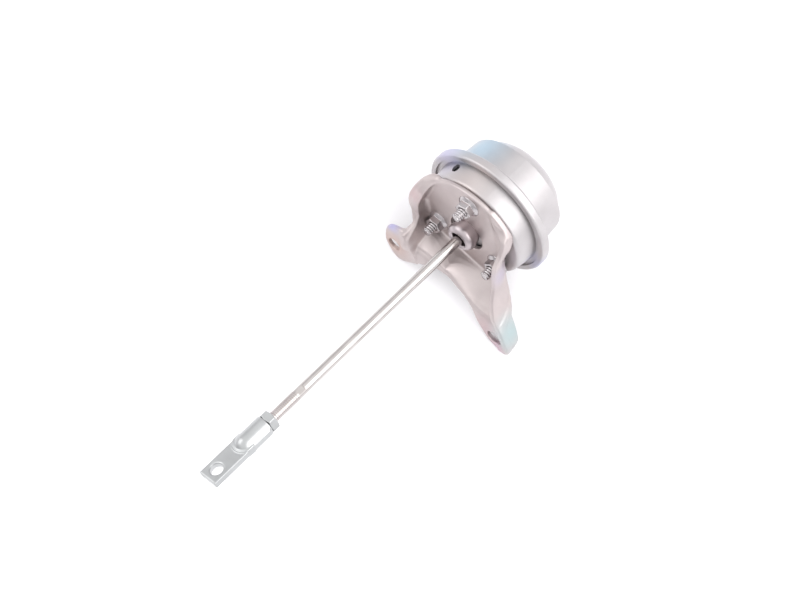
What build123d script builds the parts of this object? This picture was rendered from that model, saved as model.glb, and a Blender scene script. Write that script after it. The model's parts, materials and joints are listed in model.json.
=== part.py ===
from build123d import *
import os
from math import asin, atan2, cos, degrees, hypot, radians, sin

# Diaphragm actuator that opens a turbocharger's wastegate: a pressed canister with a spring and a rubber
# diaphragm inside, a bracket, and a long rod with an adjustable rod end.  Millimetres, +Z up.
#
# The unit stands as it lies on a bench, on the canister's rim and the two ears of its bracket, so the
# floor is Z = 0 and the rod rises away from the canister towards -Y.  "Along" always means the distance
# forward along the rod's axis from the canister's flange.  "Right" is +X and "up" is square to the rod.

# Canister
rim_radius = 35.0
rim_rear = 3.6                  # how far the rolled rim reaches behind the flange
cup_sheet = 1.2
front_cup_base_radius = 29.75
front_cup_face_radius = 28.1
front_face = 10.9
rear_cup_radius = 27.3
rear_shoulder = 20.5
rear_end = 29.0
vent_radius = 2.1
vent_along = 3.6
vent_angle = 137.5              # degrees from right, seen from the rod end

crimp_front = 1.15
crimp_lip_radius = 32.0
crimp_inner_radius = 33.7
seam_gap = 0.05
cup_corner = 2.2
rim_corner = 1.1
dome_radius = 25.2
dome_middle = (-26.2, 20.5)     # along the rod, and out from its axis
dome_top_radius = 13.0

# Diaphragm, piston and spring
rubber = 1.2
outer_leg = 26.6                # the rolled loop runs between these two radii
inner_leg = 22.1
loop_start = 1.5
piston_radius = 22.0
piston_rear = 17.0
piston_skirt_front = 6.0        # measured back from the flange
spring_radius = 14.6
spring_wire_radius = 1.0
spring_turns = 4.5
plate_front = front_face - cup_sheet
plate_thickness = 1.8
seat_thickness = 1.0
plate_hole_radius = 9.0
retainer_radius = 18.0
washer_radius = 5.5
washer_thickness = 1.0
rivet_radius = 3.4
rivet_height = 1.4
collar_radius = 5.0
collar_length = 2.5
stop_radius = 6.0
stop_gap = 0.3

# Rod and rod end
rod_radius = 2.5
spigot_radius = 2.0
thread_clearance = 0.05
jam_nut_start = 143.0
jam_nut_end = 147.0
jam_nut_across_flats = 9.0
rod_tip = 159.0
barrel_radius = 5.0
barrel_end = 164.5
blade_start = 148.5
blade_tip = 182.0
blade_width = 10.5
blade_thickness = 3.5
blade_roll = 27.5               # degrees that the blade's width stands up from right
eye_along = 176.3
eye_radius = 3.0
pinch_start = 123.6
pinch_end = 127.7
pinch_depth = 0.45
pinch_reach = 1.0
face_gap = 0.1
blade_corner = 1.0

# Guide bush
bush_radius = 8.2
bush_front = 21.0
bush_neck_radius = 6.0          # slim enough to pass through the bracket's window
bush_neck_end = 14.0
bush_shoulder = 15.2
bush_bore_radius = 4.2
spigot_hole_radius = 5.3
liner_start = 6.5
liner_end = 15.0
seal_end = 16.4
liner_clearance = 0.06
bush_spigot_radius = 5.2
bush_corner = 2.6
retainer_ring_start = 8.2

# Studs and nuts
stud_circle_radius = 21.0
stud_angles = [102.0, 222.0, 342.0]
stud_radius = 2.5
stud_tip = 24.0
nut_across_flats = 8.0
nut_flange_radius = 5.9
nut_flange_height = 1.3
nut_height = 5.0
nut_flange_taper = 12.0
stud_head_radius = 4.0

# Bracket
bracket_sheet = 2.5
bracket_back = front_face + 0.1
bracket_front = bracket_back + bracket_sheet
ear_front = 30.0
ear_back = ear_front - bracket_sheet
ear_drop = 43.8                 # rod axis down to the ears' lowest edge
plate_arc_radius = 29.6
lip_front = 20.0
lip_outer = -32.0
lip_inner = -26.0
left_hole = (-26.2, -34.6)
left_hole_radius = 3.5
right_hole = (40.2, -37.3)
right_hole_radius = 4.2
window_radius = 9.7
window_centre = (-0.3, -3.5)
window_flat = -10.8
arc_right_end = 50.0            # degrees from right, where the round top edge ends
arc_left_end = 160.0
bend_radius = 3.0
wall_left = -28.5
sheet_path = [(12.25, 34), (12.25, -22.3), (28.75, -27.5), (28.75, -50)]      # along, up
left_ear_top = [(wall_left, 8), (wall_left, -17), (-31.5, -20.5)]           # right, up
ear_and_saddle = [
    (-31.5, -20.5),
    (-33.3, -27),
    (-31, -35),
    (-27, -41),
    (-22, -ear_drop),
    (-17, -39),
    (-8, -29.6),
    (2, -25.4),
    (10.5, -26.6),
    (19, -29.8),
    (27, -34.4),
    (33, -39.4),
    (37.6, -42.8),
    (41, -ear_drop),
]
right_ear_tip = [(45.5, -ear_drop), (49.0, -42.6), (49.9, -39.5)]
right_edge = [
    (49.9, -39.5),
    (44.9, -31.3),
    (38.3, -23),
    (33, -14),
    (29.4, -5),
    (26.2, 5),
    (22.9, 15),
    (20.3, 20.6),
]
right_wall_side = [
    (bracket_back, 24),
    (bracket_back, -6),
    (ear_front - 10, -12),
    (ear_front - 10, -38),
    (ear_back, -43.2),
    (ear_front, -50),
    (ear_front, -23),
    (28.4, -17.5),
    (24.6, -7),
    (22.6, 7),
    (20.2, 15.5),
    (17, 21.5),
    (bracket_front, 24.5),
]
left_wall_side = [
    (bracket_back, 11),
    (bracket_front, 11),
    (lip_front, 5),
    (lip_front, -13),
    (ear_front - 0.5, -18),
    sheet_path[2],
    sheet_path[1],
]
lip_back = lip_front - bracket_sheet
left_lip_side = [(lip_back, 4), (lip_front, 4), (lip_front, -13), (lip_back, -13)]

# Hose nipple on the rear cup
nipple_angle = -44.0            # degrees from right, seen from the rod end
nipple_lean = 28.0              # degrees that it leans back from square to the rod
nipple_root = (15.0, -22.0)     # distance from the rod's axis, and along it
nipple_length = 18.5
nipple_radius = 2.25
nipple_bore = 1.4
nipple_step = 10.5              # the tube is slimmer up to here, where it passes through the cup
nipple_root_radius = 1.9

# The canister's rounded rim and the ears touch the floor together, which sets how far the rod rises.
rest_run = ear_back + rim_rear - rim_corner
rest_drop = ear_drop - rim_radius + rim_corner
rod_rise = atan2(rest_drop, rest_run) - asin(rim_corner / hypot(rest_run, rest_drop))
rod_direction = Vector(0, -cos(rod_rise), sin(rod_rise))

# The origin is on the floor under the middle of the unit's bounding box, whose sides are the canister's
# rim, the right ear, the rod end's upper corner and the edge of the rear dome.
reach_right = 49.95
blade_corner_up = blade_width * sin(radians(blade_roll)) + blade_thickness * cos(radians(blade_roll))
reach_front = blade_tip * cos(rod_rise) + 0.5 * blade_corner_up * sin(rod_rise)
reach_rear = 31.9
flange_centre = Vector(
    (rim_radius - reach_right) / 2,
    (reach_front - reach_rear) / 2,
    (rim_radius - rim_corner) * cos(rod_rise) + (rim_rear - rim_corner) * sin(rod_rise) + rim_corner,
)
rod_axis = Axis(flange_centre, rod_direction)


def across(along):
    """Plane square to the rod: its x is right and its y is up."""
    return Plane(flange_centre + rod_direction * along, x_dir=(1, 0, 0), z_dir=rod_direction)


# Plane through the rod's axis: its x runs along the rod and its y is the distance up from it.
beside = Plane(flange_centre, x_dir=rod_direction, z_dir=(-1, 0, 0))


def corner_at(corners, spot):
    """The corner of a sketch that lies at a spot, both in the sketch's own coordinates."""
    return corners.sort_by_distance(Vector(*spot))[0]


def ring_points(radius, angles):
    """Points (right, up) on a circle about the rod."""
    return [(radius * cos(radians(a)), radius * sin(radians(a))) for a in angles]


def moved_left(path, distance):
    """The points of a path, each moved to the left of the way the path runs there."""
    moved = []
    for before, spot, after in zip([path[0]] + path[:-1], path, path[1:] + [path[-1]]):
        run, climb = after[0] - before[0], after[1] - before[1]
        share = distance / hypot(run, climb)
        moved.append((spot[0] - share * climb, spot[1] + share * run))
    return moved


def finish(piece, name):
    piece.part.label = name
    export_step(piece.part, f"parts/{name}.step")


def leaving(angle, lean, out, along):
    """Plane at a distance out from the rod, whose normal points away from the rod and leans back by lean."""
    outward = Vector(1, 0, 0) * cos(radians(angle)) + beside.y_dir * sin(radians(angle))
    return Plane(
        flange_centre + rod_direction * along + outward * out,
        x_dir=rod_direction * cos(radians(lean)) + outward * sin(radians(lean)),
        z_dir=outward * cos(radians(lean)) - rod_direction * sin(radians(lean)),
    )


vent_plane = leaving(vent_angle, 0, front_cup_face_radius - 4, vent_along)
nipple_plane = leaving(nipple_angle, nipple_lean, *nipple_root)
blade_plane = Plane(
    flange_centre,
    x_dir=rod_direction,
    z_dir=beside.y_dir * cos(radians(blade_roll)) - Vector(1, 0, 0) * sin(radians(blade_roll)),
)

# The layers clamped on the rod's rear end, from the piston back.
stack_rear = -piston_rear - rubber - cup_sheet - washer_thickness
rivet_rear = stack_rear - rivet_height
rubber_rear = -cup_sheet - rubber
loop_middle = (outer_leg + inner_leg + rubber) / 2
loop_radius = (outer_leg + rubber - inner_leg) / 2
spring_rear = -piston_rear + cup_sheet
spring_front = plate_front - plate_thickness - seat_thickness

os.makedirs("parts", exist_ok=True)

# ---------------------------------------------------------------- canister shells

with BuildPart() as front_cup:
    with BuildSketch(beside):
        with BuildLine():
            Polyline(
                (0, crimp_inner_radius),
                (0, front_cup_base_radius),
                (front_face, front_cup_face_radius),
                (front_face, spigot_hole_radius),
                (plate_front, spigot_hole_radius),
                (plate_front, front_cup_face_radius - cup_sheet),
                (-cup_sheet, front_cup_base_radius - cup_sheet),
                (-cup_sheet, crimp_inner_radius),
                close=True,
            )
        make_face()
        fillet(corner_at(vertices(), (front_face, front_cup_face_radius)), radius=cup_corner)
    revolve(axis=rod_axis)
    with BuildSketch(across(plate_front)):
        with Locations(*ring_points(stud_circle_radius, stud_angles)):
            Circle(stud_radius + thread_clearance)
    extrude(amount=cup_sheet, mode=Mode.SUBTRACT)
    with BuildSketch(vent_plane):
        Circle(vent_radius)
    extrude(amount=rim_radius, mode=Mode.SUBTRACT)
finish(front_cup, "front_cup")

with BuildPart() as rear_cup:
    with BuildSketch(beside):
        with BuildLine():
            Polyline(
                (crimp_front, crimp_lip_radius),
                (crimp_front, rim_radius),
                (-rim_rear, rim_radius),
                (-rim_rear, rear_cup_radius + cup_sheet),
                (-rear_shoulder, rear_cup_radius),
                (-rear_shoulder, dome_radius),
            )
            ThreePointArc((-rear_shoulder, dome_radius), dome_middle, (-rear_end, dome_top_radius))
            Polyline(
                (-rear_end, dome_top_radius),
                (-rear_end, 0),
                (cup_sheet - rear_end, 0),
                (cup_sheet - rear_end, dome_top_radius - cup_sheet / 2),
            )
            ThreePointArc(
                (cup_sheet - rear_end, dome_top_radius - cup_sheet / 2),
                (dome_middle[0] + 0.8 * cup_sheet, dome_middle[1] - 0.8 * cup_sheet),
                (cup_sheet - rear_shoulder, dome_radius - cup_sheet / 2),
            )
            Polyline(
                (cup_sheet - rear_shoulder, dome_radius - cup_sheet / 2),
                (cup_sheet - rear_shoulder, rear_cup_radius - cup_sheet),
                (rubber_rear, rear_cup_radius),
                (rubber_rear, crimp_inner_radius + seam_gap),
                (seam_gap, crimp_inner_radius + seam_gap),
                (seam_gap, crimp_lip_radius),
                (crimp_front, crimp_lip_radius),
            )
        make_face()
        rim_corners = [(crimp_front, rim_radius), (-rim_rear, rim_radius), (-rear_shoulder, rear_cup_radius)]
        fillet([corner_at(vertices(), spot) for spot in rim_corners], radius=rim_corner)
    revolve(axis=rod_axis)
    with BuildSketch(nipple_plane):
        Circle(nipple_root_radius + thread_clearance)
    extrude(amount=nipple_length, mode=Mode.SUBTRACT)
finish(rear_cup, "rear_cup")

# ---------------------------------------------------------------- diaphragm and piston

with BuildPart() as diaphragm:
    with BuildSketch(beside):
        with BuildLine():
            Polyline(
                (loop_start, outer_leg + rubber),
                (-cup_sheet, outer_leg + rubber),
                (-cup_sheet, crimp_inner_radius),
                (rubber_rear, crimp_inner_radius),
                (rubber_rear, outer_leg),
                (loop_start, outer_leg),
            )
            ThreePointArc(
                (loop_start, outer_leg),
                (loop_start + loop_radius - rubber, loop_middle),
                (loop_start, inner_leg + rubber),
            )
            Polyline(
                (loop_start, inner_leg + rubber),
                (-piston_rear - rubber, inner_leg + rubber),
                (-piston_rear - rubber, spigot_radius + thread_clearance),
                (-piston_rear, spigot_radius + thread_clearance),
                (-piston_rear, inner_leg),
                (loop_start, inner_leg),
            )
            ThreePointArc(
                (loop_start, inner_leg),
                (loop_start + loop_radius, loop_middle),
                (loop_start, outer_leg + rubber),
            )
        make_face()
    revolve(axis=rod_axis)
finish(diaphragm, "diaphragm")

with BuildPart() as piston:
    with BuildSketch(across(-piston_rear)):
        Circle(piston_radius)
    extrude(amount=piston_rear - piston_skirt_front)
    fillet(faces().sort_by(rod_axis)[0].edges(), radius=2 * cup_sheet)
    with BuildSketch(across(-piston_rear + cup_sheet)):
        Circle(piston_radius - cup_sheet)
    extrude(amount=piston_rear, mode=Mode.SUBTRACT)
    with BuildSketch(across(-piston_rear)):
        Circle(spigot_radius + thread_clearance)
    extrude(amount=cup_sheet, mode=Mode.SUBTRACT)
finish(piston, "piston")

with BuildPart() as retainer_plate:
    with BuildSketch(across(-piston_rear - rubber)):
        Circle(retainer_radius)
        Circle(spigot_radius + thread_clearance, mode=Mode.SUBTRACT)
    extrude(amount=-cup_sheet)
    fillet(faces().sort_by(rod_axis)[0].edges().sort_by(SortBy.RADIUS)[-1], radius=0.7 * cup_sheet)
finish(retainer_plate, "retainer_plate")

with BuildPart() as rivet_washer:
    with BuildSketch(across(stack_rear + washer_thickness)):
        Circle(washer_radius)
        Circle(spigot_radius + thread_clearance, mode=Mode.SUBTRACT)
    extrude(amount=-washer_thickness)
finish(rivet_washer, "rivet_washer")

with BuildPart() as rod_collar:
    with BuildSketch(across(-piston_rear + cup_sheet)):
        Circle(collar_radius)
        Circle(rod_radius + thread_clearance, mode=Mode.SUBTRACT)
    extrude(amount=collar_length)
    chamfer(faces().sort_by(rod_axis)[-1].edges().sort_by(SortBy.RADIUS)[-1], length=0.6)
finish(rod_collar, "rod_collar")

with BuildPart() as spring:
    with BuildLine() as coil:
        Helix(
            pitch=(spring_front - spring_rear - 2 * spring_wire_radius) / spring_turns,
            height=spring_front - spring_rear - 2 * spring_wire_radius,
            radius=spring_radius,
            center=flange_centre + rod_direction * (spring_rear + spring_wire_radius),
            direction=rod_direction,
        )
    with BuildSketch(Plane(origin=coil.line @ 0, z_dir=coil.line % 0)):
        Circle(spring_wire_radius)
    sweep(path=coil.line, is_frenet=True)
finish(spring, "spring")

with BuildPart() as spring_seat:
    with BuildSketch(across(spring_front)):
        Circle(spring_radius + 2 * spring_wire_radius)
        Circle(spring_radius - 2 * spring_wire_radius, mode=Mode.SUBTRACT)
    extrude(amount=seat_thickness)
finish(spring_seat, "spring_seat")

with BuildPart() as rear_stop:
    with BuildSketch(across(cup_sheet - rear_end)):
        Circle(stop_radius)
    extrude(amount=rivet_rear - stop_gap + rear_end - cup_sheet)
    chamfer(faces().sort_by(rod_axis)[-1].edges(), length=1.0)
finish(rear_stop, "rear_stop")

# ---------------------------------------------------------------- guide for the rod

with BuildPart() as guide_bush:
    with BuildSketch(beside):
        with BuildLine():
            Polyline(
                (retainer_ring_start, bush_bore_radius),
                (retainer_ring_start, bush_spigot_radius),
                (front_face, bush_spigot_radius),
                (front_face, bush_neck_radius),
                (bush_neck_end, bush_neck_radius),
                (bush_shoulder, bush_radius),
                (bush_front, bush_radius),
                (bush_front, bush_bore_radius),
                close=True,
            )
        make_face()
        fillet(corner_at(vertices(), (bush_front, bush_radius)), radius=bush_corner)
    revolve(axis=rod_axis)
finish(guide_bush, "guide_bush")

with BuildPart() as guide_liner:
    with BuildSketch(across(liner_start)):
        Circle(bush_bore_radius - thread_clearance)
        Circle(rod_radius + liner_clearance, mode=Mode.SUBTRACT)
    extrude(amount=liner_end - liner_start)
finish(guide_liner, "guide_liner")

with BuildPart() as rod_seal:
    with BuildSketch(across(liner_end)):
        Circle(bush_bore_radius - thread_clearance)
        Circle(rod_radius + 2 * liner_clearance, mode=Mode.SUBTRACT)
    extrude(amount=seal_end - liner_end)
finish(rod_seal, "rod_seal")

with BuildPart() as bush_ring:
    with BuildSketch(across(retainer_ring_start)):
        Circle(bush_spigot_radius + 1.5)
        Circle(bush_spigot_radius + thread_clearance, mode=Mode.SUBTRACT)
    extrude(amount=plate_front - retainer_ring_start)
finish(bush_ring, "bush_ring")

# ---------------------------------------------------------------- studs and nuts

with BuildPart() as stud_plate:
    with BuildSketch(across(plate_front - plate_thickness)):
        Circle(front_cup_face_radius - 2 * cup_sheet)
        Circle(plate_hole_radius, mode=Mode.SUBTRACT)
        with Locations(*ring_points(stud_circle_radius, stud_angles)):
            Circle(stud_radius + thread_clearance, mode=Mode.SUBTRACT)
    extrude(amount=plate_thickness)
finish(stud_plate, "stud_plate")

with BuildPart() as studs:
    with BuildSketch(across(plate_front - plate_thickness)):
        with Locations(*ring_points(stud_circle_radius, stud_angles)):
            Circle(stud_head_radius)
    extrude(amount=-seat_thickness)
    with BuildSketch(across(plate_front - plate_thickness)):
        with Locations(*ring_points(stud_circle_radius, stud_angles)):
            Circle(stud_radius)
    extrude(amount=stud_tip - plate_front + plate_thickness)
    chamfer(faces().sort_by(rod_axis)[-3:].edges(), length=0.5)
finish(studs, "studs")

with BuildPart() as flange_nuts:
    with BuildSketch(across(bracket_front)):
        with Locations(*ring_points(stud_circle_radius, stud_angles)):
            Circle(nut_flange_radius)
    extrude(amount=nut_flange_height, taper=nut_flange_taper)
    with BuildSketch(across(bracket_front)):
        with Locations(*ring_points(stud_circle_radius, stud_angles)):
            RegularPolygon(nut_across_flats / 2, 6, major_radius=False)
    extrude(amount=nut_height)
    with BuildSketch(across(bracket_front)):
        with Locations(*ring_points(stud_circle_radius, stud_angles)):
            Circle(stud_radius + thread_clearance)
    extrude(amount=nut_height, mode=Mode.SUBTRACT)
finish(flange_nuts, "flange_nuts")

# ---------------------------------------------------------------- rod and rod end

with BuildPart() as rod:
    with BuildSketch(beside):
        with BuildLine():
            Polyline(
                (rivet_rear, 0),
                (rivet_rear, 0.6 * rivet_radius),
                (stack_rear - 0.5 * rivet_height, rivet_radius),
                (stack_rear, rivet_radius),
                (stack_rear, spigot_radius),
                (-piston_rear + cup_sheet, spigot_radius),
                (-piston_rear + cup_sheet, rod_radius),
                (rod_tip - 1, rod_radius),
                (rod_tip, rod_radius - 1),
                (rod_tip, 0),
                close=True,
            )
        make_face()
    revolve(axis=rod_axis)
    with BuildSketch(across(pinch_start)):
        with Locations((0, rod_radius + pinch_reach), (0, -rod_radius - pinch_reach)):
            Rectangle(2 * rod_radius, 2 * pinch_reach + 2 * pinch_depth, rotation=0)
    extrude(amount=pinch_end - pinch_start, mode=Mode.SUBTRACT)
finish(rod, "rod")

with BuildPart() as jam_nut:
    with BuildSketch(across(jam_nut_start)):
        RegularPolygon(jam_nut_across_flats / 2, 6, major_radius=False)
    extrude(amount=jam_nut_end - jam_nut_start)
    with BuildSketch(across(jam_nut_start)):
        Circle(rod_radius + thread_clearance)
    extrude(amount=jam_nut_end - jam_nut_start, mode=Mode.SUBTRACT)
finish(jam_nut, "jam_nut")

with BuildPart() as rod_end:
    with BuildSketch(across(jam_nut_end + face_gap)):
        Circle(barrel_radius)
    extrude(amount=barrel_end - jam_nut_end - face_gap)
    fillet(faces().sort_by(rod_axis)[-1].edges(), radius=barrel_radius - 1.0)
    with BuildSketch(blade_plane):
        with Locations(((blade_start + blade_tip) / 2, 0)):
            RectangleRounded(blade_tip - blade_start, blade_width, blade_corner)
        with Locations((eye_along, 0)):
            Circle(eye_radius, mode=Mode.SUBTRACT)
    extrude(amount=blade_thickness / 2, both=True)
    with BuildSketch(across(jam_nut_end)):
        Circle(rod_radius + thread_clearance)
    extrude(amount=rod_tip + 1 - jam_nut_end, mode=Mode.SUBTRACT)
finish(rod_end, "rod_end")

# ---------------------------------------------------------------- bracket

# Everything outside the right wall's inner face, as deep as the wall's side view.
with BuildPart() as right_wall:
    with BuildSketch(beside):
        with BuildLine():
            Polyline(*right_wall_side, close=True)
        make_face()
    extrude(amount=-2 * rim_radius)
    with BuildSketch(across(0)):
        with BuildLine():
            inner = CenterArc((0, 0), plate_arc_radius - bracket_sheet, arc_right_end, 90 - arc_right_end)
            edge = Spline(*moved_left(right_edge, bracket_sheet), inner @ 0)
            Polyline(
                edge @ 0,
                (edge @ 0) - (0, rim_radius),
                (-1, -2 * rim_radius),
                (-1, rim_radius),
                inner @ 1,
            )
        make_face()
    extrude(amount=2 * ear_front, mode=Mode.SUBTRACT)

# The low wall on the left with its lip turned outward.
with BuildPart() as left_flange:
    with BuildSketch(beside.offset(-lip_inner)):
        with BuildLine():
            Polyline(*left_wall_side, close=True)
        make_face()
    extrude(amount=lip_inner - wall_left)
    with BuildSketch(beside.offset(-lip_inner)):
        with BuildLine():
            Polyline(*left_lip_side, close=True)
        make_face()
    extrude(amount=lip_inner - lip_outer)

# The plate, the web that steps forward and the ears are one bent sheet seen from beside; with the right
# wall it is trimmed to the outline seen along the rod.
with BuildPart() as bracket:
    with BuildSketch(beside):
        with BuildLine():
            FilletPolyline(*sheet_path, radius=bend_radius)
        trace(line_width=bracket_sheet)
    extrude(amount=2 * rim_radius, both=True)
    add(right_wall.part)
    with BuildSketch(across(0)):
        with BuildLine():
            top = CenterArc((0, 0), plate_arc_radius, arc_right_end, arc_left_end - arc_right_end)
            Line(top @ 1, left_ear_top[0])
            Polyline(*left_ear_top)
            Spline(*ear_and_saddle)
            Line(ear_and_saddle[-1], right_ear_tip[0])
            ThreePointArc(*right_ear_tip)
            Spline(*right_edge, top @ 0)
        make_face()
    extrude(amount=2 * ear_front, mode=Mode.INTERSECT)
    add(left_flange.part)
    with BuildSketch(across(0)):
        with Locations(window_centre):
            Circle(window_radius)
        with Locations((window_centre[0], window_flat - window_radius)):
            Rectangle(4 * window_radius, 2 * window_radius, mode=Mode.SUBTRACT)
        with Locations(*ring_points(stud_circle_radius, stud_angles)):
            Circle(stud_radius + 2 * thread_clearance)
        with Locations(left_hole):
            Circle(left_hole_radius)
        with Locations(right_hole):
            Circle(right_hole_radius)
    extrude(amount=2 * ear_front, mode=Mode.SUBTRACT)
finish(bracket, "bracket")

# ---------------------------------------------------------------- hose nipple

with BuildPart() as hose_nipple:
    with BuildSketch(nipple_plane):
        Circle(nipple_root_radius)
    extrude(amount=nipple_length)
    with BuildSketch(nipple_plane.offset(nipple_step)):
        Circle(nipple_radius)
    extrude(amount=nipple_length - nipple_step)
    chamfer(faces().sort_by(Axis(nipple_plane.origin, nipple_plane.z_dir))[-1].edges(), length=0.3)
    with BuildSketch(nipple_plane):
        Circle(nipple_bore)
    extrude(amount=nipple_length, mode=Mode.SUBTRACT)
finish(hose_nipple, "hose_nipple")
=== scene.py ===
import json
from math import cos, pi, radians, sin, tan

import bmesh
import bpy
import numpy as np
from mathutils import Matrix, Vector

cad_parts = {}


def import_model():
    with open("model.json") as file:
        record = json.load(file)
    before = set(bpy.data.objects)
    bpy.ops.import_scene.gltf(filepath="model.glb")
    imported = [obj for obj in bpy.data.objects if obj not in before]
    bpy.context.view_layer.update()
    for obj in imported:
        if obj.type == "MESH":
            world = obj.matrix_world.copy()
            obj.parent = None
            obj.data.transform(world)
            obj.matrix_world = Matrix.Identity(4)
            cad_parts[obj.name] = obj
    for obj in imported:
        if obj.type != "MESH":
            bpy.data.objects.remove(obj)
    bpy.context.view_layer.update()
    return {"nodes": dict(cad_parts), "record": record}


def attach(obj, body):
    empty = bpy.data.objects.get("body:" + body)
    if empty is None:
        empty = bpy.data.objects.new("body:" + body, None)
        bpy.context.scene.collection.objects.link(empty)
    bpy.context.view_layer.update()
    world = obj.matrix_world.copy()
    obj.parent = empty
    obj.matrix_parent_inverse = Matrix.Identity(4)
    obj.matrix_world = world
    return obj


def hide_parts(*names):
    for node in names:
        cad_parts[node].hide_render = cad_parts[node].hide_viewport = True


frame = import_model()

# Wastegate actuator. Shapes are worked out in the rod's own frame, in millimetres: (right, up, along),
# where "along" runs forward on the rod's axis from the canister's flange.

MM = 0.001
JAM_NUT_START = 143.0
JAM_NUT_END = 147.0
JAM_NUT_MIDDLE = (JAM_NUT_START + JAM_NUT_END) / 2
joints = {joint["name"]: joint for joint in frame["record"]["behaviour"]["joints"]}
ALONG = Vector(joints["rod_slide"]["axis"])
RIGHT = Vector((1, 0, 0))
UP = ALONG.cross(RIGHT)
FLANGE = Vector(joints["jam_nut_turn"]["pos_m"]) - ALONG * JAM_NUT_MIDDLE * MM
ROD_AXES = Matrix((RIGHT, UP, ALONG)).transposed()
ROD_FRAME = Matrix.Translation(FLANGE) @ ROD_AXES.to_4x4() @ Matrix.Scale(MM, 4)

# The bracket's sheet
SHEET = 2.5
PLATE_BACK = 11.0
PLATE_FRONT = PLATE_BACK + SHEET
PLATE_MIDDLE = PLATE_BACK + SHEET / 2
EAR_FRONT = 30.0
EAR_MIDDLE = EAR_FRONT - SHEET / 2
EAR_DROP = 43.8
PLATE_RADIUS = 29.6
WINDOW_CENTRE = (-0.3, -3.5)
WINDOW_RADIUS = 9.7
WINDOW_FLAT = -10.8
WINDOW_REACH = 16          # how far along the window is cut
# A slanting fold lowers the left ear to the plate: a point on it, the way down, and its width
FOLD_SPOT = (-24.5, -17.0)
FOLD_WAY = (0.778, 0.628)
FOLD_WIDTH = 4.5
BUMP_CENTRE = (-20.3, -26.0, 28.6)
BUMP_RADIUS = 3.4
LEFT_HOLE = (-26.2, -34.6, 3.5)
RIGHT_HOLE = (40.2, -37.3, 4.2)
FLOOR_CLEAR = FLANGE.z / MM - 0.05     # floor to flange centre

# Studs, nuts and threads
STUD_CIRCLE = 21.0
STUD_ANGLES = (102.0, 222.0, 342.0)
STUD_RADIUS = 2.5
STUD_HOLE_CLEARANCE = 0.1
STUD_ROOT = 7.9
STUD_TIP = 23.2
STUD_PITCH = 1.25
STUD_THREAD_DEPTH = 0.38
NUT_HEIGHT = 5.0
NUT_APOTHEM = 4.0
NUT_BORE = 2.52
NUT_FLANGE_RADIUS = 5.9
NUT_FLANGE_HEIGHT = 1.3
NUT_TURNS = (8.0, 20.0, 38.0)
JAM_NUT_APOTHEM = 4.5
JAM_NUT_BORE = 2.56
JAM_NUT_TURN = 14.0
ROD_THREAD_START = 128.4
ROD_THREAD_END = 142.8
ROD_THREAD_RADIUS = 2.64
ROD_THREAD_PITCH = 1.0
ROD_THREAD_DEPTH = 0.3

# The rod end
BLADE_START = 148.5
BLADE_TIP = 182.0
BLADE_LENGTH = BLADE_TIP - BLADE_START
BLADE_WIDTH = 10.5
BLADE_THICKNESS = 3.5
BLADE_ROLL = 27.5
BARREL_RADIUS = 5.0
BARREL_START = 147.1
BARREL_TURN = 159.5        # the barrel is straight up to here and round beyond
ROD_BORE_RADIUS = 2.55
ROD_BORE_END = 160.0
LIP_WIDTH = 0.7
LIP_RISE = 0.55
LIP_START = 158
EYE_ALONG = 176.3
EYE_RADIUS = 3.0


# ---------------------------------------------------------------- mesh helpers

def publish(name, points, faces, body, material, replaced=(), crease=32.0):
    """A piece from points in the rod's frame, smooth except where its faces meet at more than crease."""
    mesh = bpy.data.meshes.new(name)
    mesh.from_pydata([ROD_FRAME @ Vector(point) for point in points], [], faces)
    work = bmesh.new()
    work.from_mesh(mesh)
    bmesh.ops.remove_doubles(work, verts=work.verts, dist=1e-7)
    bmesh.ops.recalc_face_normals(work, faces=work.faces)
    for face in work.faces:
        face.smooth = True
    for edge in work.edges:
        edge.smooth = edge.calc_face_angle(0) < radians(crease)
    work.to_mesh(mesh)
    work.free()
    mesh.materials.append(material)
    piece = bpy.data.objects.new(name, mesh)
    bpy.context.scene.collection.objects.link(piece)
    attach(piece, body)
    if replaced:
        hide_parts(*replaced)
    return piece


def soften(corners, steps=6):
    """A closed profile of (along, out, radius) corners, each rounded by its radius."""
    profile = []
    neighbours = zip(corners[-1:] + corners[:-1], corners, corners[1:] + corners[:1])
    for before, (along, out, radius), after in neighbours:
        corner = Vector((along, out))
        if radius == 0:
            profile.append((along, out))
            continue
        back = (Vector(before[:2]) - corner).normalized()
        on = (Vector(after[:2]) - corner).normalized()
        half = back.angle(on) / 2
        middle = corner + (back + on).normalized() * radius / sin(half)
        start = back * radius / tan(half) + corner - middle
        end = on * radius / tan(half) + corner - middle
        for step in range(steps + 1):
            profile.append(tuple(middle + start.lerp(end, step / steps).normalized() * radius))
    return profile


def wind(rows):
    """Points and faces of a ring of rows of points, each row closed."""
    count = len(rows[0])
    faces = []
    for turn in range(len(rows)):
        now = turn * count
        ahead = (turn + 1) % len(rows) * count
        for here in range(count):
            there = (here + 1) % count
            faces.append((now + here, now + there, ahead + there, ahead + here))
    return [point for row in rows for point in row], faces


def lathe(profile, segments=160):
    """Points and faces of a closed profile turned about the rod's axis."""
    rows = []
    for turn in range(segments):
        angle = 2 * pi * turn / segments
        rows.append([(out * cos(angle), out * sin(angle), along) for along, out in profile])
    return wind(rows)


def ring(radius, angle):
    """The point at an angle on a circle round the rod's axis."""
    return (radius * cos(radians(angle)), radius * sin(radians(angle)))


# ---------------------------------------------------------------- distance fields

def outline_distance(x, y, corners):
    """Signed distance from points to a closed outline, negative inside."""
    nearest = path_distance(x, y, corners + corners[:1])
    inside = np.zeros(nearest.shape, bool)
    for (ax, ay), (bx, by) in zip(corners, corners[1:] + corners[:1]):
        if ay != by:
            inside ^= ((ay > y) != (by > y)) & (x < ax + (y - ay) * (bx - ax) / (by - ay))
    return np.where(inside, -nearest, nearest)


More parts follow.
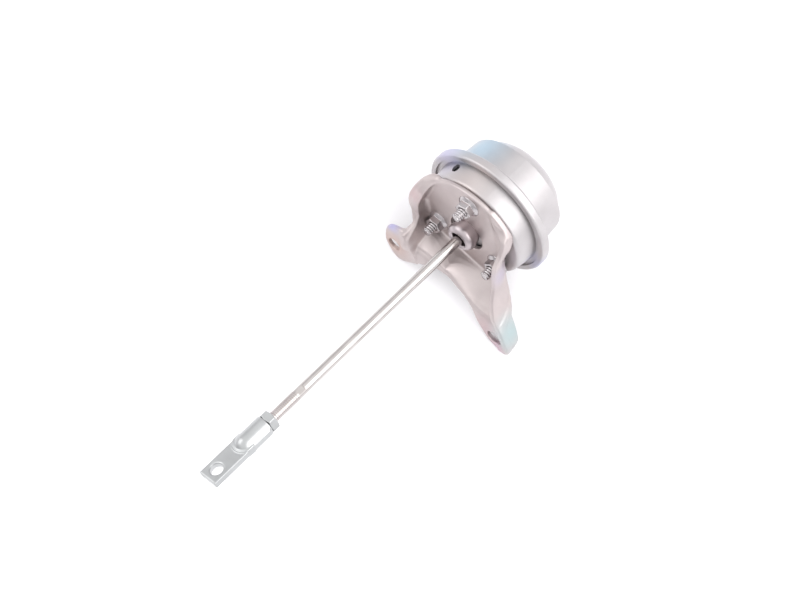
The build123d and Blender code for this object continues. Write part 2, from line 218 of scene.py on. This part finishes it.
def path_distance(x, y, corners):
    """Distance from points to an open path."""
    nearest = np.full(np.broadcast(x, y).shape, np.inf)
    for (ax, ay), (bx, by) in zip(corners, corners[1:]):
        run, climb = bx - ax, by - ay
        share = np.clip(((x - ax) * run + (y - ay) * climb) / (run * run + climb * climb), 0, 1)
        nearest = np.minimum(nearest, np.hypot(x - ax - share * run, y - ay - share * climb))
    return nearest


def join(a, b, blend):
    """Union of two fields, with a fillet of about half the blend."""
    share = np.clip(0.5 + 0.5 * (b - a) / blend, 0, 1)
    return b * (1 - share) + a * share - blend * share * (1 - share)


def keep(a, b, blend):
    """What two fields have in common, with the edge between them rounded."""
    return -join(-a, -b, blend)


def smooth_curve(knots, steps=8):
    """Points of a curve that runs smoothly through the knots."""
    curve = []
    padded = knots[:1] + knots + knots[-1:]
    for p0, p1, p2, p3 in zip(padded, padded[1:], padded[2:], padded[3:]):
        for step in range(steps):
            t = step / steps
            weights = (
                (-t + 2 * t * t - t ** 3) / 2,
                (2 - 5 * t * t + 3 * t ** 3) / 2,
                (t + 4 * t * t - 3 * t ** 3) / 2,
                (-t * t + t ** 3) / 2,
            )
            curve.append(tuple(sum(w * p[i] for w, p in zip(weights, (p0, p1, p2, p3))) for i in (0, 1)))
    curve.append(knots[-1])
    return curve


def grid(low, high, step):
    """Three broadcastable axes of a box of points."""
    axes = [np.arange(a, b + step, step) for a, b in zip(low, high)]
    return axes[0][:, None, None], axes[1][None, :, None], axes[2][None, None, :]


def skin(field, low, step):
    """Points and faces of the surface where a field is zero, one point in each cell that it crosses."""
    inside = field < 0
    cells_shape = tuple(size - 1 for size in field.shape)
    count = np.zeros(cells_shape, int)
    offsets = [(i, j, k) for i in (0, 1) for j in (0, 1) for k in (0, 1)]
    for i, j, k in offsets:
        count += inside[i:i + cells_shape[0], j:j + cells_shape[1], k:k + cells_shape[2]]
    crossed = (count > 0) & (count < 8)
    cells = np.argwhere(crossed)
    number = np.full(cells_shape, -1)
    number[crossed] = np.arange(len(cells))
    total = np.zeros((len(cells), 3))
    hits = np.zeros(len(cells))
    for axis in range(3):
        unit = np.eye(3, dtype=int)[axis]
        for offset in offsets:
            if offset[axis]:
                continue
            start = cells + offset
            a = field[tuple(start.T)]
            b = field[tuple((start + unit).T)]
            found = (a < 0) != (b < 0)
            share = a[found] / (a[found] - b[found])
            total[found] += np.array(offset) + unit * share[:, None]
            hits[found] += 1
    points = (cells + total / hits[:, None]) * step + np.array(low)
    faces = []
    for axis in range(3):
        u = np.eye(3, dtype=int)[(axis + 1) % 3]
        v = np.eye(3, dtype=int)[(axis + 2) % 3]
        below = inside.take(range(field.shape[axis] - 1), axis)
        above = inside.take(range(1, field.shape[axis]), axis)
        start = np.argwhere(below != above)
        side = (axis + 1) % 3, (axis + 2) % 3
        good = np.ones(len(start), bool)
        for s in side:
            good &= (start[:, s] > 0) & (start[:, s] < field.shape[s] - 1)
        start = start[good]
        outward = below[tuple(start.T)]
        quad = np.stack([number[tuple(p.T)] for p in (start, start - u, start - u - v, start - v)], axis=1)
        quad[~outward] = quad[~outward][:, ::-1]
        faces.extend(quad.tolist())
    return points.tolist(), faces


# ---------------------------------------------------------------- materials

def mix(tree, share, low, high):
    """A colour between two others, each a tuple or another node's output."""
    node = tree.nodes.new("ShaderNodeMix")
    node.data_type = "RGBA"
    tree.links.new(share, node.inputs[0])
    for socket, value in ((node.inputs[6], low), (node.inputs[7], high)):
        if isinstance(value, tuple):
            socket.default_value = (*value, 1)
        else:
            tree.links.new(value, socket)
    return node.outputs[2]


def noise(tree, place, scale, detail=4.0, stretch=(1, 1, 1)):
    """Mottling from 0 to 1, stretched along the axes."""
    mapping = tree.nodes.new("ShaderNodeMapping")
    mapping.inputs["Scale"].default_value = stretch
    tree.links.new(place, mapping.inputs["Vector"])
    node = tree.nodes.new("ShaderNodeTexNoise")
    node.inputs["Scale"].default_value = scale
    node.inputs["Detail"].default_value = detail
    tree.links.new(mapping.outputs["Vector"], node.inputs["Vector"])
    return node.outputs["Fac"]


def spread(tree, value, low, high, start=0.0, end=1.0):
    """A value from start to end, spread over low to high."""
    node = tree.nodes.new("ShaderNodeMapRange")
    node.inputs["From Min"].default_value = start
    node.inputs["From Max"].default_value = end
    node.inputs["To Min"].default_value = low
    node.inputs["To Max"].default_value = high
    tree.links.new(value, node.inputs["Value"])
    return node.outputs["Result"]


def near(tree, place, centre, reach, strength):
    """A soft spot round a point of the rod's frame."""
    apart = tree.nodes.new("ShaderNodeVectorMath")
    apart.operation = "DISTANCE"
    apart.inputs[1].default_value = centre
    tree.links.new(place, apart.inputs[0])
    node = tree.nodes.new("ShaderNodeMapRange")
    node.interpolation_type = "SMOOTHSTEP"
    node.inputs["From Min"].default_value = 0
    node.inputs["From Max"].default_value = reach
    node.inputs["To Min"].default_value = strength
    node.inputs["To Max"].default_value = 0
    tree.links.new(apart.outputs["Value"], node.inputs["Value"])
    return node.outputs["Result"]


def metal(name, dark, light, roughness, tints=(), grain=(1, 1, 1), grain_depth=0.01, grain_scale=2.0):
    """Metal with mottled plating, a fine grain and soft coloured spots: (centre, reach, strength, colour).
    The spots are plating tints, and on the bracket also a painted highlight and a painted reflection.
    """
    material = bpy.data.materials.new(name)
    material.use_nodes = True
    tree = material.node_tree
    shader = tree.nodes["Principled BSDF"]
    shader.inputs["Metallic"].default_value = 1.0
    spot = tree.nodes.new("ShaderNodeTexCoord")
    mapping = tree.nodes.new("ShaderNodeMapping")
    mapping.vector_type = "TEXTURE"
    mapping.inputs["Location"].default_value = FLANGE
    mapping.inputs["Rotation"].default_value = ROD_AXES.to_euler()
    mapping.inputs["Scale"].default_value = (MM, MM, MM)
    tree.links.new(spot.outputs["Object"], mapping.inputs["Vector"])
    place = mapping.outputs["Vector"]
    colour = mix(tree, spread(tree, noise(tree, place, 0.09), 0, 1, 0.3, 0.7), dark, light)
    for centre, reach, strength, tint in tints:
        colour = mix(tree, near(tree, place, centre, reach, strength), colour, tint)
    tree.links.new(colour, shader.inputs["Base Color"])
    fine = noise(tree, place, grain_scale, 3.0, grain)
    tree.links.new(
        spread(tree, noise(tree, place, 0.35, 5.0), roughness - 0.03, roughness + 0.04, 0.3, 0.7),
        shader.inputs["Roughness"],
    )
    bump = tree.nodes.new("ShaderNodeBump")
    bump.inputs["Strength"].default_value = 0.15
    bump.inputs["Distance"].default_value = grain_depth * MM
    tree.links.new(fine, bump.inputs["Height"])
    tree.links.new(bump.outputs["Normal"], shader.inputs["Normal"])
    return material


def dielectric(name, dark, light, roughness):
    """Rubber or plastic, mottled in the same way."""
    material = metal(name, dark, light, roughness, grain_depth=0.05)
    material.node_tree.nodes["Principled BSDF"].inputs["Metallic"].default_value = 0.0
    return material


bracket_zinc = metal(
    "bracket_zinc",
    (0.51, 0.45, 0.445),
    (0.58, 0.52, 0.51),
    0.44,
    tints=(
        ((-26, -34, 30), 13, 0.6, (0.54, 0.38, 0.32)),
        ((36, -36, 30), 14, 0.5, (0.50, 0.34, 0.36)),
        # Painted highlight: a lilac spot along the left ear's top edge, standing in for the lilac highlight
        # that this edge catches.
        ((-32, -20, 29), 8, 0.8, (0.44, 0.44, 0.72)),
        # Painted reflection: a teal spot on the right ear and the lower right wall, standing in for the
        # surroundings that this surface reflects.
        ((47, -30, 24), 17, 0.8, (0.42, 0.56, 0.57)),
        ((-30, 2, 19), 9, 0.4, (0.56, 0.40, 0.41)),
        ((28, 0, 18), 10, 0.5, (0.46, 0.43, 0.60)),
        ((44, -43, 29), 7, 0.6, (0.60, 0.40, 0.50)),
    ),
)
shell_zinc = metal(
    "shell_zinc",
    (0.50, 0.478, 0.482),
    (0.56, 0.538, 0.542),
    0.46,
    tints=(
        ((-24, 24, -14), 22, 0.6, (0.36, 0.60, 0.76)),
        ((-32, 18, 0), 16, 0.6, (0.50, 0.48, 0.68)),
        ((-12, 27, 8), 18, 0.4, (0.62, 0.52, 0.48)),
        ((34, -4, 0), 12, 0.5, (0.50, 0.52, 0.72)),
    ),
    grain=(1, 1, 0.15),
)
bright_zinc = metal("bright_zinc", (0.40, 0.375, 0.38), (0.52, 0.49, 0.495), 0.20)
bush_steel = metal("bush_steel", (0.43, 0.38, 0.39), (0.50, 0.45, 0.46), 0.32)
ground_steel = metal("ground_steel", (0.47, 0.44, 0.425), (0.55, 0.52, 0.505), 0.18, grain=(1, 1, 0.1))
pale_zinc = metal("pale_zinc", (0.43, 0.44, 0.44), (0.50, 0.51, 0.51), 0.32)
thread_steel = metal("thread_steel", (0.36, 0.31, 0.30), (0.45, 0.40, 0.39), 0.25)
spring_steel = metal("spring_steel", (0.20, 0.19, 0.18), (0.32, 0.31, 0.30), 0.35)
plain_steel = metal("plain_steel", (0.40, 0.39, 0.38), (0.52, 0.51, 0.50), 0.38)
bronze = metal("bronze", (0.50, 0.34, 0.18), (0.62, 0.44, 0.24), 0.35)
moulded_rubber = dielectric("moulded_rubber", (0.02, 0.02, 0.02), (0.05, 0.05, 0.05), 0.6)
seal_plastic = dielectric("seal_plastic", (0.06, 0.05, 0.05), (0.10, 0.08, 0.07), 0.5)

slot_materials = {
    "bracket_zinc": bracket_zinc,
    "shell_zinc": shell_zinc,
    "bright_zinc": bright_zinc,
    "bush_steel": bush_steel,
    "ground_steel": ground_steel,
    "spring_steel": spring_steel,
    "plain_steel": plain_steel,
    "bronze": bronze,
    "moulded_rubber": moulded_rubber,
    "seal_plastic": seal_plastic,
}
for part in frame["record"]["subparts"]:
    node = frame["nodes"][part["node"]]
    node.data.materials.clear()
    node.data.materials.append(slot_materials[part["material_slot"]])


# ---------------------------------------------------------------- bracket

def side_curve(up, stops):
    """How far along a flange's edge stands at each height."""
    heights, reaches = zip(*stops)
    return np.interp(up, heights, reaches)


def bracket_sheet(right, up, along, step):
    """The plate, the web that rises from it below the window, and the ears, as a height over the flange."""
    fold_end = np.interp(
        right[:, 0, 0],
        (-34, -24, -10, 2, 10, 23, 34, 44),
        (-28, -26.4, -24, -23, -25, -28.5, -27.5, -25),
    )
    rows = []
    for end in fold_end:
        bend = smooth_curve([
            (12.25, -18.6),
            (12.7, -20.0),
            (14.0, end / 20 - 19.6),
            (22.4, end + 0.8),
            (25.2, end - 0.8),
            (27.4, end - 3.2),
            (EAR_MIDDLE, end - 7.0),
        ], 4)
        heights, ups = zip(*reversed(bend))
        rows.append(np.interp(up[0, :, 0], ups, heights))
    web = np.stack(rows)
    # The left ear is raised as far as a slanting fold.
    past_fold = (FOLD_WAY[0] * (right - FOLD_SPOT[0]) + FOLD_WAY[1] * (up - FOLD_SPOT[1]))[:, :, 0]
    share = np.clip(past_fold / FOLD_WIDTH, 0, 1)
    left_ear = EAR_MIDDLE - (EAR_MIDDLE - PLATE_MIDDLE) * share * share * (3 - 2 * share)
    height = -join(-web, -left_ear, 2.0)
    slope_right, slope_up = np.gradient(height, step)
    steepness = np.sqrt(1 + slope_right ** 2 + slope_up ** 2)
    return np.abs(along - height[:, :, None]) / steepness[:, :, None] - SHEET / 2


def bracket_piece():
    """One pressing: plate, web, two walls, a lip and two ears, with the holes and the window cut out."""
    step = 0.42
    low = (-36.0, -45.5, 8.5)
    right, up, along = grid(low, (52.0, 32.0, 33.0), step)
    flat_right, flat_up = right[:, :, 0], up[:, :, 0]
    side_up, side_along = up[0], along[0]
    sheet = bracket_sheet(right, up, along, step)

    arc = [ring(PLATE_RADIUS, angle) for angle in range(50, 160, 5)]
    left_side = [(-28.5, 9), (-28.3, -4), (-26.0, -10)]
    ears = smooth_curve([
        (-23.6, -13.5),
        (-23.2, -16.4),
        (-27.2, -18.4),
        (-32.0, -22.6),
        (-33.3, -28),
        (-31.8, -35),
        (-27.2, -41.2),
        (-22, -EAR_DROP),
        (-17.5, -41.2),
        (-13, -36),
        (-7.4, -29.6),
        (-1, -26),
        (4.5, -25.4),
        (10.5, -27),
        (19, -29.8),
        (27, -34.4),
        (33, -39.4),
        (37.6, -42.8),
        (41, -EAR_DROP),
        (45.5, -EAR_DROP),
        (49.1, -42.4),
        (49.7, -39.1),
        (44.3, -31.3),
        (36.9, -23),
        (31.1, -14),
        (27.5, -5),
        (23.9, 5),
        (22.4, 15),
        (20, 21.5),
    ])
    outline = outline_distance(flat_right, flat_up, arc + left_side + ears)[:, :, None]

    # Right wall: the tray's edge turned forward round a wide bend, and lower towards its top.
    outer = keep(outline, PLATE_BACK - along, np.interp(up, (6, 22), (11.5, 0.8)))
    inner = keep(outline + SHEET, PLATE_FRONT - along, 6.0)
    front = side_curve(side_up, [
        (-60, 30),
        (-23, 30),
        (-17.5, 28.4),
        (-7, 24.6),
        (7, 22.6),
        (15.5, 20.2),
        (21.5, 17),
        (25, 13.5),
    ])
    rear = side_curve(side_up, [
        (-60, 60),
        (-44.6, 30),
        (-43.2, 27.5),
        (-38, 21),
        (-27, 19),
        (-22.5, 16.5),
        (-18, 13),
        (-14, 8),
    ])
    side = side_curve(side_up, [
        (-46, 46),
        (-39, 44.5),
        (-31, 38.5),
        (-23, 31.1),
        (-14, 25.2),
        (-5, 21.0),
        (5, 17.7),
        (15, 15),
        (32, 5),
    ])
    depth = np.maximum(np.maximum(side_along - front, rear - side_along), 0.8 * (side - right))
    wall = keep(np.maximum(outer, -inner), depth, 0.8)
    plate = keep(sheet, np.where(right > 8, outer, outline), 1.0)
    body = join(plate, wall, 1.6)

    # Left wall: lower, with its lip turned outward.
    left_front = side_curve(side_up, [
        (-30, 30),
        (-19.5, 29),
        (-17, 26),
        (-14, 22.6),
        (-11, 20.6),
        (0, 20),
        (6, 18.4),
        (12, 15.2),
        (17, 12.4),
        (22, 11.5),
    ])
    left_inner = side_curve(side_up, [(-24, -20.4), (-15.5, -21.4), (-9, -24), (-3, -26.2), (17, -26.2)])
    left_band = np.maximum(np.abs(right - left_inner + SHEET / 2) - SHEET / 2, np.maximum(up - 17, -22 - up))
    left_wall = keep(left_band, np.maximum(side_along - left_front, PLATE_BACK + 1 - side_along), 0.8)
    body = join(body, keep(left_wall, outline, 0.8), 3.0)
    lip_outline = smooth_curve([
        (-24.0, 17.5),
        (-27.8, 15.6),
        (-30.8, 11.0),
        (-32.3, 3.5),
        (-32.3, -3.5),
        (-31.0, -8.0),
        (-28.4, -11.0),
        (-26.0, -11.6),
        (-25.6, -7),
        (-26.0, 8),
        (-24.0, 17.5),
    ])
    lip_flat = outline_distance(flat_right, flat_up, lip_outline[:-1])[:, :, None]
    lip = keep(lip_flat, np.abs(side_along - left_front + SHEET / 2) - SHEET / 2, 1.4)
    body = join(body, lip, 2.6)

    # A small bump where the left ear meets the web.
    bump_right, bump_up, bump_along = BUMP_CENTRE
    off_bump = np.sqrt((right - bump_right) ** 2 + (up - bump_up) ** 2 + (along - bump_along) ** 2)
    body = join(body, off_bump - BUMP_RADIUS, 1.6)

    # Floor, back face, window and holes.
    body = keep(body, -FLOOR_CLEAR - along * ALONG.z - up * UP.z, 0.5)
    body = np.maximum(body, PLATE_BACK - along)
    window = np.hypot(right - WINDOW_CENTRE[0], up - WINDOW_CENTRE[1]) - WINDOW_RADIUS
    window = np.maximum(np.maximum(window, WINDOW_FLAT - up), along - WINDOW_REACH)
    body = keep(body, -window, 0.5)
    for spot_right, spot_up, radius in (LEFT_HOLE, RIGHT_HOLE):
        body = keep(body, radius - np.hypot(right - spot_right, up - spot_up), 0.6)
    for angle in STUD_ANGLES:
        x, y = ring(STUD_CIRCLE, angle)
        body = np.maximum(body, STUD_RADIUS + STUD_HOLE_CLEARANCE - np.hypot(right - x, up - y))
    points, faces = skin(body, low, step)
    publish(
        "bracket_pressing", points, faces, "canister", bracket_zinc, ("bracket",), crease=60
    )


bracket_piece()


# ---------------------------------------------------------------- studs and nuts

def hexagon(angle, apothem):
    """Distance from the middle of a hexagon to its side, in that direction."""
    return apothem / cos((angle + pi / 6) % (pi / 3) - pi / 6)


def nut(centre, start, end, apothem, bore, flange=0.0, flange_height=0.0, turn=0.0, segments=144):
    """A hexagon nut whose ends are chamfered, with a washer flange where flange is its radius."""
    slope = tan(radians(30))
    top_radius = apothem * 0.97
    countersink = 0.45
    rows = []
    for step in range(segments):
        angle = 2 * pi * step / segments
        side = hexagon(angle + radians(turn), apothem)
        drop = max(0.0, (side - top_radius) * slope)
        profile = []
        if flange:
            flange_end = start + flange_height
            profile += [(start, flange - 0.2), (start + 0.25, flange), (start + 0.7, flange - 0.1)]
            profile += [(flange_end, min(flange - 0.9, side + 1.0)), (flange_end + 0.5, side)]
        else:
            profile += [(start, top_radius), (start + drop, side)]
        profile += [(end - drop, side), (end, top_radius), (end, bore + countersink)]
        profile += [(end - countersink, bore), (start, bore)]
        across, upward = cos(angle), sin(angle)
        rows.append([(centre[0] + out * across, centre[1] + out * upward, along) for along, out in profile])
    return wind(rows)


def threaded(centre, start, end, radius, pitch, depth, segments=48, rows_per_pitch=8):
    """A screw thread with a flat rear end and a chamfered tip."""
    rows = int((end - start) / pitch * rows_per_pitch)
    points = []
    for row in range(rows + 1):
        along = start + (end - start) * row / rows
        tip_cut = max(0.0, 0.6 - (end - along))
        for step in range(segments):
            angle = 2 * pi * step / segments
            wave = abs(2 * ((along / pitch - step / segments) % 1) - 1)
            out = radius - depth * min(1.0, 1.25 * wave) - tip_cut
            points.append((centre[0] + out * cos(angle), centre[1] + out * sin(angle), along))
    faces = []
    for row in range(rows):
        now, after = row * segments, (row + 1) * segments
        for step in range(segments):
            ahead = (step + 1) % segments
            faces.append((now + step, now + ahead, after + ahead, after + step))
    for row, along in ((0, start), (rows, end)):
        middle = len(points)
        points.append((centre[0], centre[1], along))
        for step in range(segments):
            faces.append((middle, row * segments + step, row * segments + (step + 1) % segments))
    return points, faces


def bevel(piece, width):
    """Breaks a piece's sharp edges, so that they catch the light."""
    rounding = piece.modifiers.new("bevel", "BEVEL")
    rounding.width = width * MM
    rounding.segments = 2
    rounding.limit_method = "ANGLE"
    rounding.angle_limit = radians(33)


for number, (angle, turn) in enumerate(zip(STUD_ANGLES, NUT_TURNS), 1):
    centre = ring(STUD_CIRCLE, angle)
    nut_end = PLATE_FRONT + NUT_HEIGHT
    points, faces = nut(
        centre, PLATE_FRONT, nut_end, NUT_APOTHEM, NUT_BORE, NUT_FLANGE_RADIUS, NUT_FLANGE_HEIGHT, turn
    )
    hexagon_nut = publish(
        f"flange_nut_{number}", points, faces, "canister", bright_zinc, ("flange_nuts",)
    )
    bevel(hexagon_nut, 0.25)
    points, faces = threaded(centre, STUD_ROOT, STUD_TIP, STUD_RADIUS, STUD_PITCH, STUD_THREAD_DEPTH)
    publish(f"stud_{number}", points, faces, "canister", bright_zinc, ("studs",), crease=70)

points, faces = nut(
    (0, 0), JAM_NUT_START, JAM_NUT_END, JAM_NUT_APOTHEM, JAM_NUT_BORE, turn=JAM_NUT_TURN
)
bevel(publish("jam_nut_hexagon", points, faces, "jam_nut", pale_zinc, ("jam_nut",)), 0.3)

# The rod's thread stands a little proud of the plain rod, between the pinch and the jam nut.
points, faces = threaded(
    (0, 0), ROD_THREAD_START, ROD_THREAD_END, ROD_THREAD_RADIUS, ROD_THREAD_PITCH, ROD_THREAD_DEPTH
)
publish("rod_thread", points, faces, "rod", thread_steel, crease=70)


# ---------------------------------------------------------------- rod end and guide bush

def rod_end_piece():
    """A flat blade with an eye, pressed out into a barrel for the rod with a raised lip round its end."""
    step = 0.3
    roll = radians(BLADE_ROLL)
    low = (-6.5, -6.5, 146.6)
    wide, thick, along = grid(low, (6.5, 6.5, 183.0), step)
    blade_middle = (BLADE_START + BLADE_TIP) / 2
    blade_run = np.maximum(np.abs(wide) - BLADE_WIDTH / 2, np.abs(along - blade_middle) - BLADE_LENGTH / 2)
    blade = keep(blade_run, np.abs(thick) - BLADE_THICKNESS / 2, 0.5)
    off_axis = np.hypot(wide, thick)
    barrel_tip = np.sqrt(off_axis ** 2 + np.maximum(along - BARREL_TURN, 0) ** 2)
    barrel = keep(barrel_tip - BARREL_RADIUS, BARREL_START - along, 0.5)
    body = join(blade, barrel, 0.5)
    lip_run = np.hypot(wide, np.maximum(along - BARREL_TURN, 0))
    lip = keep(lip_run - BARREL_RADIUS - LIP_WIDTH, np.abs(thick) - BLADE_THICKNESS / 2 - LIP_RISE, 0.5)
    lip = keep(lip, LIP_START - along, 0.5)
    body = join(body, keep(lip, np.abs(wide) - BLADE_WIDTH / 2, 0.5), 0.3)
    body = keep(body, EYE_RADIUS - np.hypot(wide, along - EYE_ALONG), 0.5)
    body = keep(body, -np.maximum(off_axis - ROD_BORE_RADIUS, along - ROD_BORE_END), 0.2)
    points, faces = skin(body, low, step)
    turned = [(w * cos(roll) - t * sin(roll), w * sin(roll) + t * cos(roll), a) for w, t, a in points]
    publish("rod_end_forging", turned, faces, "rod_end", pale_zinc, ("rod_end",), crease=60)


rod_end_piece()

# Guide bush: a broad rounded collar in front of the plate, on a neck that passes through the window.
# Each corner is (along, out, rounding).
points, faces = lathe(soften([
    (8.0, 5.15, 0.2),
    (11.1, 5.15, 0),
    (11.1, 6.0, 0.2),
    (13.6, 6.0, 0),
    (13.6, 6.8, 0.3),
    (21.2, 8.2, 2.8),
    (21.2, 5.3, 0.6),
    (20.2, 4.3, 0.3),
    (8.0, 4.3, 0),
]))
publish("guide_bush_collar", points, faces, "canister", bush_steel, ("guide_bush",))


# ---------------------------------------------------------------- floor, lights and camera

def floor():
    """A pale sheet with a faint mottle, on which the part lies."""
    mesh = bpy.data.meshes.new("floor")
    half = 3.0
    corners = [(-half, -half, 0), (half, -half, 0), (half, half, 0), (-half, half, 0)]
    mesh.from_pydata(corners, [], [(0, 1, 2, 3)])
    material = bpy.data.materials.new("floor_white")
    material.use_nodes = True
    tree = material.node_tree
    shader = tree.nodes["Principled BSDF"]
    shader.inputs["Roughness"].default_value = 0.6
    spot = tree.nodes.new("ShaderNodeTexCoord")
    tone = mix(tree, noise(tree, spot.outputs["Object"], 3.0), (0.90, 0.895, 0.91), (0.93, 0.925, 0.935))
    tree.links.new(tone, shader.inputs["Base Color"])
    mesh.materials.append(material)
    plane = bpy.data.objects.new("floor", mesh)
    bpy.context.scene.collection.objects.link(plane)


def softbox(name, place, aim, size, power):
    """A rectangular light, turned towards a point."""
    light = bpy.data.lights.new(name, "AREA")
    light.shape = "RECTANGLE"
    light.size, light.size_y = size
    light.energy = power
    lamp = bpy.data.objects.new(name, light)
    lamp.location = place
    lamp.rotation_euler = (Vector(aim) - Vector(place)).to_track_quat("-Z", "Y").to_euler()
    bpy.context.scene.collection.objects.link(lamp)


def world():
    """A pale room, darker towards the horizon."""
    sky = bpy.data.worlds.new("studio")
    sky.use_nodes = True
    tree = sky.node_tree
    spot = tree.nodes.new("ShaderNodeTexCoord")
    split = tree.nodes.new("ShaderNodeSeparateXYZ")
    tree.links.new(spot.outputs["Generated"], split.inputs["Vector"])
    rise = spread(tree, split.outputs["Z"], 0, 1, 0.0, 0.75)
    tone = mix(tree, rise, (0.50, 0.49, 0.51), (0.95, 0.95, 0.96))
    tree.links.new(tone, tree.nodes["Background"].inputs["Color"])
    tree.nodes["Background"].inputs["Strength"].default_value = 1.4
    bpy.context.scene.world = sky


def camera():
    """Looks down past the rod end from above, with the rod running to the lower left."""
    lens = bpy.data.cameras.new("camera")
    lens.lens = 67.5
    lens.sensor_width = 36
    lens.clip_start = 0.01
    eye = bpy.data.objects.new("camera", lens)
    image_right = Vector((0.72475, 0.68609, -0.06353))
    image_up = Vector((-0.67140, 0.72391, 0.15872))
    turn = Matrix((image_right, image_up, image_right.cross(image_up))).transposed()
    from_flange = Vector((107.0, -109.1, 689.4)) * MM
    eye.matrix_world = Matrix.Translation(FLANGE + from_flange) @ turn.to_4x4()
    bpy.context.scene.collection.objects.link(eye)
    bpy.context.scene.camera = eye


floor()
world()
softbox("key", (0.75, 0.55, 0.85), (0, 0.05, 0.02), (1.5, 1.2), 10.5)
softbox("fill", (-0.9, -0.3, 0.7), (0, 0, 0.02), (0.9, 0.7), 2.5)
bpy.context.scene.view_settings.view_transform = "Standard"
camera()
